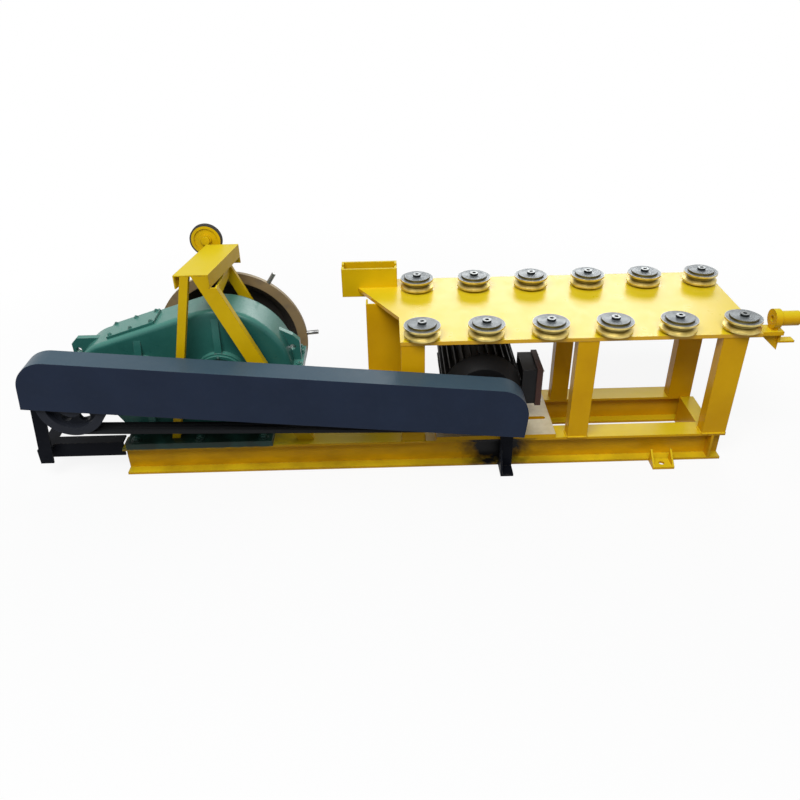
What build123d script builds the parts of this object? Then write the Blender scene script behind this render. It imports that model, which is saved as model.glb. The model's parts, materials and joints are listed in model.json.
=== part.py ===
"""Wire drawing machine: a base frame of two rails that carries a gear reducer with its
drawing drum, a motor with a guarded belt drive, and a table with two rows of straightening
rollers. Millimetres. X runs along the rails, Y from the belt guard to the drum, Z up.
The origin is on the floor, under the middle of the front rail.
"""

import os
from math import cos, radians, sin

from build123d import *

# Base frame
rail_length = 1900.0
rear_rail_shortfall = 34.0
rail_height = 100.0
rail_flange = 68.0
rail_web = 6.0
rail_flange_thickness = 8.0
rail_spacing = 222.0
cross_beam_width = 46.0
cross_beam_wall = 6.0
left_cross_beam_inset = 30.0
right_cross_beam_inset = 25.0
stiffener_thickness = 8.0
stiffener_inset = 34.0
weld_gap = 0.2

rail_left = -rail_length / 2
rail_right = rail_length / 2
rear_rail_length = rail_length - rear_rail_shortfall
rail_front = -rail_flange / 2
rear_rail_back = rail_spacing + rail_flange / 2

# Anchor lugs at the right of both rails
lug_inset = 196.0
lug_width = 68.0
lug_reach = 48.0
lug_plate = 8.0
lug_rib = 6.0
lug_rib_height = 46.0
anchor_hole_radius = 9.0
lug_x = rail_right - lug_inset

# Table
table_offset = 876.0
table_overhang = 36.0
table_lip = 2.0
table_depth = 466.0
table_underside = 440.0
table_thickness = 12.0
ear_reach = 130.0
ear_setback = 167.0

table_left = rail_left + table_offset
table_right = rail_right + table_overhang
table_front = rail_front - table_lip
table_back = table_front + table_depth
table_top_z = table_underside + table_thickness
ear_start = table_front + ear_setback

# Table legs
leg_depth = 40.0
leg_wall = 6.0
first_leg_inset = 2.0
first_leg_width = 70.0
middle_leg_offset = 521.0
middle_leg_width = 62.0
last_leg_inset = 113.0
last_leg_width = 75.0
rear_middle_leg_offset = 511.0
rear_middle_leg_width = 56.0
rear_last_leg_inset = 148.0
rear_last_leg_width = 76.0
wide_leg_offset = 104.0
wide_leg_width = 120.0

# Left edge and width of each leg
front_leg_edges = (
    (table_left + first_leg_inset, first_leg_width),
    (table_left + middle_leg_offset, middle_leg_width),
    (table_right - last_leg_inset, last_leg_width),
)
rear_leg_edges = (
    (table_left + rear_middle_leg_offset, rear_middle_leg_width),
    (table_right - rear_last_leg_inset, rear_last_leg_width),
)
wide_leg_left = table_left - wide_leg_offset

# Die box at the back left corner of the table
die_box_length = 184.0
die_box_depth = 70.0
die_box_height = 98.0
die_box_rise = 66.0
die_box_wall = 8.0
die_box_setback = 68.0
die_notch_width = 18.0
die_notch_depth = 34.0

die_box_top = table_top_z + die_box_rise
die_box_front = table_back - die_box_setback
die_box_right = table_left

# Straightening rollers and their pins
roller_count = 6
first_roller_inset = 65.0
last_roller_inset = 55.0
front_row_inset = 29.0
row_spacing = 349.0
roller_radius = 54.0
roller_height = 32.0
roller_land = 6.0
groove_depth = 13.0
groove_floor = 4.0
cap_radius = 41.0
cap_height = 6.0
pin_radius = 10.0
pin_fit = 0.05
pin_collar_radius = 17.0
pin_collar_height = 8.0
pin_head_radius = 13.0
pin_head_height = 7.0
pin_socket_radius = 6.5
pin_socket_sides = 6
pin_socket_depth = 5.0
running_gap = 0.3

first_roller_x = table_left + first_roller_inset
roller_pitch = (table_right - last_roller_inset - first_roller_x) / (roller_count - 1)
front_row_y = table_front + front_row_inset
back_row_y = front_row_y + row_spacing

# Wire inlet at the front right corner of the table
inlet_shift = 3.0
inlet_axis_rise = 32.0
inlet_bore_radius = 9.0
inlet_tube_radius = 22.0
inlet_tube_reach = 106.0
inlet_collar_radius = 29.0
inlet_collar_offset = 30.0
inlet_collar_length = 20.0
inlet_saddle_width = 26.0
inlet_plate_length = 64.0
inlet_plate_width = 50.0
inlet_gusset_drop = 58.0
inlet_gusset_thickness = 10.0
inlet_tongue_length = 44.0
inlet_tongue_thickness = 6.0
inlet_tongue_width = 26.0
inlet_tongue_drop = 24.0

inlet_y = front_row_y + inlet_shift
inlet_axis_z = table_top_z + inlet_axis_rise
inlet_tube_end = table_right + inlet_tube_reach
inlet_collar_start = table_right + inlet_collar_offset

# Gear reducer
shaft_height = 315.0
output_offset = 331.0
slow_centre_distance = 240.0
fast_centre_distance = 174.0
housing_width = 136.0
cover_big_radius = 215.0
cover_small_radius = 117.0
cover_small_offset = 6.0
cover_edge_radius = 16.0
flange_reach = 14.0
flange_end_reach = 30.0
flange_thickness = 14.0
boss_reach = 17.0
output_boss_radius = 82.0
intermediate_boss_radius = 76.0
input_boss_radius = 40.0
rib_thickness = 22.0
rib_top_margin = 26.0
bearing_cap_thickness = 8.0
bearing_cap_margin = 5.0
bearing_cap_lip = 10.0
bearing_cap_recess = 3.0
foot_offset = 16.0
foot_length = 456.0
foot_width = 300.0
foot_thickness = 20.0
base_wall_inset = 8.0
lifting_lug_thickness = 20.0
lifting_eye_radius = 9.0
lifting_eye_depth = 41.0
low_lug_reach = 18.0
low_lug_height = 107.0
low_lug_chamfer = 18.0
low_lug_root = 80.0
high_lug_reach = 22.0
high_lug_height = 135.0
high_lug_shoulder = 80.0
high_lug_chamfer = 20.0
high_lug_root = 64.0
hatch_length = 160.0
hatch_width = 96.0
hatch_thickness = 8.0
hatch_centre_share = 0.34
output_shaft_radius = 40.0
input_shaft_radius = 20.0

output_x = rail_left + output_offset
cover_small_x = rail_left + cover_small_offset
foot_left = rail_left + foot_offset
reducer_mid_y = rail_spacing / 2
intermediate_x = output_x - slow_centre_distance
input_x = intermediate_x - fast_centre_distance
housing_front = reducer_mid_y - housing_width / 2
housing_back = reducer_mid_y + housing_width / 2
boss_front = housing_front - boss_reach
boss_back = housing_back + boss_reach
cover_left = cover_small_x - cover_small_radius
cover_right = output_x + cover_big_radius
foot_top = rail_height + foot_thickness

# The cover's outline is two circles and the line that touches both
hull_lean = (cover_big_radius - cover_small_radius) / (output_x - cover_small_x)
hull_rise = (1 - hull_lean**2) ** 0.5

# Drawing drum: a flange with pins on its edge, and a narrower barrel behind it
drum_rail_gap = 6.0
drum_flange_radius = 243.0
drum_rim_width = 31.0
drum_flange_thickness = 15.0
drum_barrel_radius = 190.0
drum_barrel_wall = 18.0
drum_taper_length = 45.0
drum_width = 110.0
drum_web_thickness = 20.0
drum_hub_radius = 75.0
drum_hub_inset = 22.0
drum_pin_count = 7
drum_pin_radius = 7.0
drum_pin_length = 38.0
drum_pin_first_angle = 56.5
shaft_fit = 0.05
drum_front = rear_rail_back + drum_rail_gap

# Belt drive
belt_count = 3
belt_pitch = 19.0
belt_width = 11.0
belt_thickness = 10.5
belt_proud = 0.5
belt_offset = 56.0
groove_mouth = 16.0
groove_root = 12.0
groove_clearance = 1.0
pulley_width = 60.0
driven_pulley_radius = 100.0
driven_rim = 14.0
driven_web = 16.0
driven_hub_radius = 36.0
driven_hole_radius = 16.0
driven_hole_circle = 55.0
driven_hole_count = 6
motor_pulley_radius = 62.0
motor_shaft_radius = 19.0
belt_mid_y = rail_front - belt_offset

# Motor
motor_offset = 1130.0
motor_base_thickness = 14.0
motor_base_shift = 145.0
motor_base_length = 375.0
motor_slot_length = 120.0
motor_slot_width = 16.0
motor_axis_height = 132.0
motor_inset = 12.0
motor_shield_length = 44.0
motor_frame_length = 235.0
motor_core_radius = 108.0
motor_fin_radius = 125.0
motor_fin_thickness = 4.0
motor_fin_count = 30
motor_hub_radius = 52.0
motor_hub_length = 16.0
motor_foot_width = 216.0
motor_foot_length = 46.0
motor_foot_thickness = 16.0
motor_pedestal_width = 144.0
motor_pedestal_length = 30.0
cowl_length = 86.0
cowl_radius = 120.0
cowl_wall = 3.0
terminal_box_width = 62.0
terminal_box_height = 120.0
terminal_box_length = 120.0
terminal_lid = 18.0
terminal_lid_margin = 5.0
terminal_box_setback = 118.0

motor_x = rail_left + motor_offset
motor_base_left = motor_x - motor_base_shift
motor_front = rail_front + motor_inset
terminal_box_y = motor_front + terminal_box_setback
motor_axis_z = rail_height + motor_base_thickness + motor_axis_height

# Belt guard, a sheet metal trough that leans down towards the motor
guard_reach = 40.0
guard_width = 80.0
guard_wall = 3.0
guard_left_reach = 135.0
guard_right_reach = 112.0
guard_left_rise = 156.0
guard_right_rise = 80.0
guard_height = 156.0
guard_lean = 15.5
guard_left_radius = 85.0
guard_right_radius = 88.0
guard_slot_margin = 14.0

guard_front = belt_mid_y - guard_reach
guard_back = guard_front + guard_width
guard_left = input_x - guard_left_reach
guard_right = motor_x + guard_right_reach
guard_left_top = shaft_height + guard_left_rise
guard_right_top = motor_axis_z + guard_right_rise

# Guard stands
stand_width = 40.0
stand_wall = 6.0
left_stand_gap = 8.0
left_stand_lean = 29.0
left_stand_bottom = 64.0
left_stand_beam_height = 50.0
left_stand_drop = 109.0
left_stand_reach = 200.0
right_stand_offset = 54.0
right_stand_drop = 90.0
right_stand_foot = 62.0
right_stand_foot_thickness = 8.0

left_stand_x = guard_left - left_stand_gap
left_stand_top = guard_left_top - left_stand_drop
right_stand_x = motor_x + right_stand_offset
right_stand_top = guard_right_top - right_stand_drop

# Gantry over the reducer: two A frames, and a channel on top that runs back at a skew
gantry_wall = 5.0
front_leg_depth = 24.0
rear_frame_depth = 16.0
frame_gap = 4.0
post_width = 25.0
post_top_offset = 51.0
post_foot_offset = 163.0
rear_post_top_offset = 42.0
rear_post_foot_offset = 81.0
brace_width = 50.0
rear_brace_width = 32.0
brace_top_offset = 7.0
brace_foot_offset = 243.0
beam_offset = 33.0
beam_skew = 0.203
beam_width = 98.0
beam_height = 40.0
beam_wall = 4.0
beam_rise = 349.0
stretcher_drop = 12.0
stretcher_height = 36.0
stretcher_thickness = 6.0

post_top_x = output_x - post_top_offset
post_foot_x = output_x - post_foot_offset
rear_post_top_x = output_x - rear_post_top_offset
rear_post_foot_x = output_x - rear_post_foot_offset
brace_top_x = output_x - brace_top_offset
brace_foot_x = output_x + brace_foot_offset
beam_x = output_x - beam_offset
beam_top = shaft_height + beam_rise
gantry_front = boss_front - bearing_cap_thickness - frame_gap - front_leg_depth
rear_frame_front = boss_back + bearing_cap_thickness + frame_gap
beam_back = rear_frame_front + rear_frame_depth
beam_bottom = beam_top - beam_height
leg_top = beam_top - beam_wall
beam_inner = beam_width - 2 * beam_wall

# Guide wheel behind the gantry
wheel_offset = 38.0
wheel_rise = 6.0
wheel_radius = 49.0
wheel_width = 14.0
wheel_rim = 9.0
wheel_groove = 4.0
wheel_web = 6.0
wheel_hub_radius = 17.0
wheel_pin_radius = 8.0
wheel_pin_head_radius = 13.0
wheel_pin_head = 5.0
wheel_reach = 20.0
wheel_gap = 8.0
wheel_side_gap = 3.0
bracket_width = 30.0
bracket_thickness = 8.0

wheel_x = output_x - wheel_offset
wheel_z = beam_top + wheel_rise
wheel_front = beam_back + beam_wall + wheel_reach
wheel_back = wheel_front + wheel_width

parts_folder = "parts"
os.makedirs(parts_folder, exist_ok=True)


def save(piece, label):
    """Label a finished sub-part and write it to its own file."""
    piece.part.label = label
    export_step(piece.part, os.path.join(parts_folder, f"{label}.step"))


def side_plane(y):
    """An XZ plane at depth y; extrude(amount=-d) from it runs d towards +Y."""
    return Plane.XZ.offset(-y)


def upright_plane(x, y):
    """An XZ plane through an upright axis at (x, y)."""
    return Plane(origin=(x, y, 0), x_dir=(1, 0, 0), z_dir=(0, -1, 0))


def across_plane(x):
    """A YZ plane at x; extrude(amount=d) from it runs d towards +X."""
    return Plane.YZ.offset(x)


def block(low, high, mode=Mode.ADD):
    """A box between two corners, added to the open part."""
    centre = [(a + b) / 2 for a, b in zip(low, high)]
    with Locations(Location(centre)):
        Box(*[b - a for a, b in zip(low, high)], mode=mode)


def rail_section(y):
    """I section of a rail that stands on the floor, centred on y."""
    pocket_width = (rail_flange - rail_web) / 2
    pocket_height = rail_height - 2 * rail_flange_thickness
    pocket_offset = (rail_web + pocket_width) / 2
    with Locations((y, rail_height / 2)):
        Rectangle(rail_flange, rail_height)
        with Locations((pocket_offset, 0), (-pocket_offset, 0)):
            Rectangle(pocket_width, pocket_height, mode=Mode.SUBTRACT)


def channel_post(left, width, front, depth, bottom, top):
    """An upright channel whose web faces the front and whose flanges run back."""
    block((left, front, bottom), (left + width, front + depth, top))
    block(
        (left + leg_wall, front + leg_wall, bottom),
        (left + width - leg_wall, front + depth, top),
        mode=Mode.SUBTRACT,
    )


def lean_leg(foot, top, width, front, depth, mode=Mode.ADD):
    """A leaning leg from foot to top, both (x, z), cut level at both ends."""
    half = width / 2
    with BuildSketch(side_plane(front)) as outline:
        with BuildLine():
            Polyline(
                (foot[0] - half, foot[1]),
                (foot[0] + half, foot[1]),
                (top[0] + half, top[1]),
                (top[0] - half, top[1]),
                close=True,
            )
        make_face()
    extrude(outline.sketch, amount=-depth, mode=mode)


def turned_profile(points, plane, axis):
    """Turn a closed outline of (radius, along) points about an axis."""
    with BuildSketch(plane) as outline:
        with BuildLine():
            Polyline(*points, close=True)
        make_face()
    revolve(outline.sketch, axis=axis)


def disc_y(x, y, z, radius, length, mode=Mode.ADD):
    """A cylinder along Y that starts at depth y."""
    with BuildSketch(side_plane(y)) as outline:
        with Locations((x, z)):
            Circle(radius)
    extrude(outline.sketch, amount=-length, mode=mode)


# Rails
with BuildPart() as front_rail:
    with BuildSketch(across_plane(rail_left)):
        rail_section(0)
    extrude(amount=rail_length)
    stiffener_right = rail_right - stiffener_inset
    block(
        (stiffener_right - stiffener_thickness, rail_front, rail_flange_thickness),
        (stiffener_right, -rail_web / 2, rail_height - rail_flange_thickness),
    )
save(front_rail, "front_rail")

with BuildPart() as rear_rail:
    with BuildSketch(across_plane(rail_left)):
        rail_section(rail_spacing)
    extrude(amount=rear_rail_length)
save(rear_rail, "rear_rail")


# Cross beams, channels laid between the rails with the web on top
def cross_beam(left):
    """A channel across the frame, from flange to flange."""
    front = rail_flange / 2
    back = rail_spacing - rail_flange / 2
    right = left + cross_beam_width
    block((left, front, 0), (right, back, rail_height))
    block(
        (left + cross_beam_wall, front, 0),
        (right - cross_beam_wall, back, rail_height - cross_beam_wall),
        mode=Mode.SUBTRACT,
    )


with BuildPart() as left_cross_beam:
    cross_beam(rail_left + left_cross_beam_inset)
save(left_cross_beam, "left_cross_beam")

with BuildPart() as right_cross_beam:
    cross_beam(rail_right - right_cross_beam_inset - cross_beam_width)
save(right_cross_beam, "right_cross_beam")

# Anchor lugs: a floor plate with a bolt hole between two sloping ribs
with BuildPart() as anchor_lugs:
    for edge, outward in ((rail_front, -1), (rear_rail_back, 1)):
        tip = edge + outward * lug_reach
        block(
            (lug_x - lug_width / 2, min(edge, tip), 0),
            (lug_x + lug_width / 2, max(edge, tip), lug_plate),
        )
        for rib_x in (lug_x - lug_width / 2, lug_x + lug_width / 2 - lug_rib):
            with BuildSketch(across_plane(rib_x)):
                with BuildLine():
                    Polyline((edge, lug_plate), (tip, lug_plate), (edge, lug_rib_height), close=True)
                make_face()
            extrude(amount=lug_rib)
        with Locations((lug_x, (edge + tip) / 2, lug_plate)):
            Hole(anchor_hole_radius, depth=lug_plate)
save(anchor_lugs, "anchor_lugs")

# Table legs
with BuildPart() as front_legs:
    for leg_left, leg_width in front_leg_edges:
        channel_post(leg_left, leg_width, rail_front, leg_depth, rail_height, table_underside)
save(front_legs, "front_legs")

with BuildPart() as rear_legs:
    rear_leg_front = rail_spacing - rail_flange / 2
    for leg_left, leg_width in rear_leg_edges:
        channel_post(leg_left, leg_width, rear_leg_front, leg_depth, rail_height, table_underside)
save(rear_legs, "rear_legs")

with BuildPart() as die_leg:
    channel_post(wide_leg_left, wide_leg_width, rear_rail_back, leg_depth, 0, table_underside)
save(die_leg, "die_leg")

# Table plate, with an ear that carries the die box
roller_places = [
    (first_roller_x + i * roller_pitch, row_y)
    for row_y in (front_row_y, back_row_y)
    for i in range(roller_count)
]

with BuildPart() as table_top:
    with BuildSketch(Plane.XY.offset(table_underside)):
        with BuildLine():
            Polyline(
                (table_left, table_front),
                (table_right, table_front),
                (table_right, table_back),
                (table_left, table_back),
                (table_left, die_box_front),
                (table_left - ear_reach, die_box_front),
                (table_left, ear_start),
                close=True,
            )
        make_face()
        with Locations(*roller_places):
            Circle(pin_radius + pin_fit, mode=Mode.SUBTRACT)
    extrude(amount=table_thickness)
save(table_top, "table_top")

# Die box, open on top, with a wire notch in each end wall
with BuildPart() as die_box:
    box_left = die_box_right - die_box_length
    box_back = die_box_front + die_box_depth
    box_bottom = die_box_top - die_box_height
    block((box_left, die_box_front, box_bottom), (die_box_right, box_back, die_box_top))
    block(
        (box_left + die_box_wall, die_box_front + die_box_wall, box_bottom + die_box_wall),
        (die_box_right - die_box_wall, box_back - die_box_wall, die_box_top),
        mode=Mode.SUBTRACT,
    )
    with BuildSketch(across_plane(box_left)):
        notch_floor = die_box_top - die_notch_depth + die_notch_width / 2
        notch_y = (die_box_front + box_back) / 2
        with Locations((notch_y, notch_floor)):
            Circle(die_notch_width / 2)
        with Locations((notch_y, (notch_floor + die_box_top) / 2)):
            Rectangle(die_notch_width, die_box_top - notch_floor)
    extrude(amount=die_box_length, mode=Mode.SUBTRACT)
save(die_box, "die_box")

# Wire inlet
with BuildPart() as inlet_bracket:
    plate_right = table_right + inlet_plate_length
    block(
        (table_right, inlet_y - inlet_plate_width / 2, table_underside),
        (plate_right, inlet_y + inlet_plate_width / 2, table_top_z),
    )
    with BuildSketch(side_plane(inlet_y - inlet_gusset_thickness / 2)):
        with BuildLine():
            Polyline(
                (table_right, table_underside),
                (plate_right, table_underside),
                (plate_right, table_underside - inlet_gusset_drop),
                close=True,
            )
        make_face()
    extrude(amount=-inlet_gusset_thickness)
    tongue_top = table_underside - inlet_tongue_drop
    tongue_bottom = tongue_top - inlet_tongue_thickness
    tongue_front = inlet_y - inlet_tongue_width / 2
    tongue_back = inlet_y + inlet_tongue_width / 2
    block(
        (plate_right, tongue_front, tongue_bottom),
        (plate_right + inlet_tongue_length, tongue_back, tongue_top),
    )
    block(
        (plate_right - inlet_tongue_thickness, tongue_front, tongue_bottom),
        (plate_right, tongue_back, table_underside),
    )
save(inlet_bracket, "inlet_bracket")

with BuildPart() as inlet_tube:
    with BuildSketch(across_plane(inlet_collar_start)):
        with Locations((inlet_y, inlet_axis_z)):
            Circle(inlet_collar_radius)
    extrude(amount=inlet_collar_length)
    block(
        (inlet_collar_start, inlet_y - inlet_saddle_width / 2, table_top_z),
        (inlet_collar_start + inlet_collar_length, inlet_y + inlet_saddle_width / 2, inlet_axis_z),
    )
    with BuildSketch(across_plane(inlet_collar_start)):
        with Locations((inlet_y, inlet_axis_z)):
            Circle(inlet_tube_radius)
    extrude(amount=inlet_tube_end - inlet_collar_start)
    with BuildSketch(across_plane(inlet_collar_start)):
        with Locations((inlet_y, inlet_axis_z)):
            Circle(inlet_bore_radius)
    extrude(amount=inlet_tube_end - inlet_collar_start, mode=Mode.SUBTRACT)
save(inlet_tube, "inlet_tube")

# Roller pins: a stud welded flush into the plate, with a collar on it and a head over the roller
roller_bottom = table_top_z + pin_collar_height + running_gap
roller_top = roller_bottom + roller_height
head_bottom = roller_top + cap_height + running_gap

with BuildPart() as roller_pins:
    for pin_x, pin_y in roller_places:
        turned_profile(
            (
                (0, table_underside),
                (pin_radius, table_underside),
                (pin_radius, table_top_z),
                (pin_collar_radius, table_top_z),
                (pin_collar_radius, table_top_z + pin_collar_height),
                (pin_radius, table_top_z + pin_collar_height),
                (pin_radius, head_bottom),
                (pin_head_radius, head_bottom),
                (pin_head_radius, head_bottom + pin_head_height),
                (0, head_bottom + pin_head_height),
            ),
            upright_plane(pin_x, pin_y),
            Axis((pin_x, pin_y, 0), (0, 0, 1)),
        )
    with BuildSketch(Plane.XY.offset(head_bottom + pin_head_height)):
        with Locations(*roller_places):
            RegularPolygon(pin_socket_radius, pin_socket_sides)
    extrude(amount=-pin_socket_depth, mode=Mode.SUBTRACT)
save(roller_pins, "roller_pins")


def make_roller(x, y):
    """A grooved roller with its bearing cap, turned about a vertical pin."""
    bore = pin_radius + pin_fit
    middle = (roller_bottom + roller_top) / 2
    with BuildPart() as roller:
        turned_profile(
            (
                (bore, roller_bottom),
                (roller_radius, roller_bottom),
                (roller_radius, roller_bottom + roller_land),
                (roller_radius - groove_depth, middle - groove_floor / 2),
                (roller_radius - groove_depth, middle + groove_floor / 2),
                (roller_radius, roller_top - roller_land),
                (roller_radius, roller_top),
                (cap_radius, roller_top),
                (cap_radius, roller_top + cap_height),
                (bore, roller_top + cap_height),
            ),
            upright_plane(x, y),
            Axis((x, y, 0), (0, 0, 1)),
        )
    return roller


for number, (roller_x, roller_y) in enumerate(roller_places, start=1):
    save(make_roller(roller_x, roller_y), f"roller_{number:02d}")

# Gear reducer
shafts = (
    (input_x, input_boss_radius),
    (intermediate_x, intermediate_boss_radius),
    (output_x, output_boss_radius),
)
flange_left = cover_left - flange_end_reach
flange_right = cover_right + flange_end_reach


def split_flange(bottom, top):
    """The bolted joint flange all round the housing."""
    block(
        (flange_left, housing_front - flange_reach, bottom),
        (flange_right, housing_back + flange_reach, top),
    )


def half_bosses(upper):
    """Half of each bearing boss, above or below the split."""
    for x, radius in shafts:
        with BuildSketch(side_plane(boss_front)) as outline:
            with Locations((x, shaft_height)):
                Circle(radius)
            removed = -radius / 2 if upper else radius / 2
            with Locations((x, shaft_height + removed)):
                Rectangle(2 * radius, radius, mode=Mode.SUBTRACT)
        extrude(outline.sketch, amount=boss_front - boss_back)


def cover_top(x):
    """Height of the cover's outline above the shaft at x."""
    slope_height = (cover_small_radius + (x - cover_small_x) * hull_lean) / hull_rise
    return shaft_height + min(slope_height, cover_big_radius)


with BuildPart() as gearbox_cover:
    with BuildSketch(side_plane(housing_front)):
        with Locations((cover_small_x, shaft_height)):
            Circle(cover_small_radius)
        with Locations((output_x, shaft_height)):
            Circle(cover_big_radius)
        make_hull()
        lower_centre = ((cover_left + cover_right) / 2, shaft_height - cover_big_radius / 2)
        with Locations(lower_centre):
            Rectangle(2 * (cover_right - cover_left), cover_big_radius, mode=Mode.SUBTRACT)
    extrude(amount=-housing_width)
    shoulder_faces = gearbox_cover.faces().filter_by(Axis.Y)
    shoulder_edges = shoulder_faces.edges().filter_by(lambda edge: edge.center().Z > shaft_height + weld_gap)
    fillet(shoulder_edges, radius=cover_edge_radius)
    split_flange(shaft_height, shaft_height + flange_thickness)
    half_bosses(upper=True)
    for x, radius in shafts[1:]:
        rib_foot = shaft_height + radius - rib_thickness / 2
        rib_top = cover_top(x) - rib_top_margin
        with BuildSketch(across_plane(x - rib_thickness / 2)):
            with BuildLine():
                Polyline(
                    (boss_front, rib_foot),
                    (boss_back, rib_foot),
                    (housing_back, rib_top),
                    (housing_front, rib_top),
                    close=True,
                )
            make_face()
        extrude(amount=rib_thickness)
    with BuildSketch(side_plane(reducer_mid_y - lifting_lug_thickness / 2)):
        high_lug_end = cover_right + high_lug_reach
        high_lug_corner = shaft_height + high_lug_shoulder
        with BuildLine():
            Polyline(
                (cover_left + low_lug_root, shaft_height),
                (cover_left - low_lug_reach, shaft_height),
                (cover_left - low_lug_reach, shaft_height + low_lug_height - low_lug_chamfer),
                (cover_left - low_lug_reach + low_lug_chamfer, shaft_height + low_lug_height),
                (cover_left + low_lug_root, shaft_height + low_lug_height),
                close=True,
            )
        make_face()
        with BuildLine():
            Polyline(
                (cover_right - high_lug_root, shaft_height),
                (high_lug_end, shaft_height),
                (high_lug_end, high_lug_corner),
                (high_lug_end - high_lug_chamfer, high_lug_corner + high_lug_chamfer),
                (cover_right - high_lug_root, shaft_height + high_lug_height),
                close=True,
            )
        make_face()
        low_eye = (cover_left, shaft_height + low_lug_height - lifting_eye_depth)
        high_eye = (cover_right, high_lug_corner + high_lug_chamfer - lifting_eye_depth)
        with Locations(low_eye, high_eye):
            Circle(lifting_eye_radius, mode=Mode.SUBTRACT)
    extrude(amount=-lifting_lug_thickness)
save(gearbox_cover, "gearbox_cover")

with BuildPart() as gearbox_base:
    with BuildSketch(side_plane(housing_front)):
        with BuildLine():
            Polyline(
                (cover_left + base_wall_inset, shaft_height),
                (cover_right - base_wall_inset, shaft_height),
                (foot_left + foot_length, foot_top),
                (foot_left, foot_top),
                close=True,
            )
        make_face()
    extrude(amount=-housing_width)
    split_flange(shaft_height - flange_thickness, shaft_height)
    half_bosses(upper=False)
    for x, radius in shafts[1:]:
        block(
            (x - rib_thickness / 2, boss_front, foot_top),
            (x + rib_thickness / 2, boss_back, shaft_height - radius + rib_thickness / 2),
        )
    block(
        (foot_left, reducer_mid_y - foot_width / 2, rail_height),
        (foot_left + foot_length, reducer_mid_y + foot_width / 2, foot_top),
    )
save(gearbox_base, "gearbox_base")

# Inspection hatch, on the slope of the cover between the two circles of its outline
slope_start = Vector(
    cover_small_x - cover_small_radius * hull_lean, 0, shaft_height + cover_small_radius * hull_rise
)
slope_end = Vector(output_x - cover_big_radius * hull_lean, 0, shaft_height + cover_big_radius * hull_rise)
hatch_centre = slope_start + (slope_end - slope_start) * hatch_centre_share
hatch_plane = Plane(
    origin=(hatch_centre.X, reducer_mid_y, hatch_centre.Z),
    x_dir=(slope_end - slope_start).normalized(),
    z_dir=(-hull_lean, 0, hull_rise),
)

with BuildPart() as inspection_hatch:
    with BuildSketch(hatch_plane):
        RectangleRounded(hatch_length, hatch_width, hatch_thickness)
    extrude(amount=hatch_thickness)
save(inspection_hatch, "inspection_hatch")

# Bearing caps on both ends of the three shafts; two have a bore for a shaft
with BuildPart() as bearing_caps:
    for x, boss_radius in shafts:
        cap_outer = boss_radius - bearing_cap_margin
        dish_radius = cap_outer - bearing_cap_lip
        for cap_front, dish_front in (
            (boss_front - bearing_cap_thickness, boss_front - bearing_cap_thickness),
            (boss_back, boss_back + bearing_cap_thickness - bearing_cap_recess),
        ):
            disc_y(x, cap_front, shaft_height, cap_outer, bearing_cap_thickness)
            disc_y(x, dish_front, shaft_height, dish_radius, bearing_cap_recess, Mode.SUBTRACT)
    disc_y(
        input_x, boss_front - bearing_cap_thickness, shaft_height,
        input_shaft_radius + shaft_fit, bearing_cap_thickness, Mode.SUBTRACT,
    )
    disc_y(
        output_x, boss_back, shaft_height,
        output_shaft_radius + shaft_fit, bearing_cap_thickness, Mode.SUBTRACT,
    )
save(bearing_caps, "bearing_caps")

# Output shaft and drawing drum
with BuildPart() as output_shaft:
    shaft_start = boss_back + running_gap
    disc_y(output_x, shaft_start, shaft_height, output_shaft_radius, drum_front + drum_width - shaft_start)
save(output_shaft, "output_shaft")

with BuildPart() as drum:
    rim_inner = drum_flange_radius - drum_rim_width
    drum_bore = output_shaft_radius + shaft_fit
    barrel_inner = drum_barrel_radius - drum_barrel_wall
    barrel_start = drum_flange_thickness + drum_taper_length
    web_start = drum_width - drum_web_thickness
    turned_profile(
        (
            (drum_bore, drum_hub_inset),
            (drum_hub_radius, drum_hub_inset),
            (drum_hub_radius, web_start),
            (barrel_inner, web_start),
            (barrel_inner, barrel_start),
            (rim_inner, 0),
            (drum_flange_radius, 0),
            (drum_flange_radius, drum_flange_thickness),
            (drum_barrel_radius, barrel_start),
            (drum_barrel_radius, drum_width),
            (drum_bore, drum_width),
        ),
        Plane.XY.move(Location((output_x, drum_front, shaft_height))),
        Axis((output_x, drum_front, shaft_height), (0, 1, 0)),
    )
save(drum, "drum")

with BuildPart() as drum_pins:
    pin_y = drum_front + drum_flange_thickness / 2
    for i in range(drum_pin_count):
        angle = radians(drum_pin_first_angle + i * 360 / drum_pin_count)
        outward = Vector(cos(angle), 0, sin(angle))
        seat = Vector(output_x, pin_y, shaft_height) + outward * (drum_flange_radius + weld_gap)
        with BuildSketch(Plane(origin=seat, x_dir=(0, 1, 0), z_dir=outward)):
            Circle(drum_pin_radius)
        extrude(amount=drum_pin_length)
save(drum_pins, "drum_pins")

# Belt drive
pulley_front = belt_mid_y - pulley_width / 2
belt_centres = [belt_mid_y + (i - (belt_count - 1) / 2) * belt_pitch for i in range(belt_count)]


def pulley_rim(radius):
    """Outline of a grooved rim from its front edge to its back edge, as (radius, along)."""
    root = radius - belt_thickness + belt_proud - groove_clearance
    points = [(radius, 0)]
    for centre in belt_centres:
        along = centre - pulley_front
        points += [
            (radius, along - groove_mouth / 2),
            (root, along - groove_root / 2),
            (root, along + groove_root / 2),
            (radius, along + groove_mouth / 2),
        ]
    points.append((radius, pulley_width))
    return points


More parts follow.
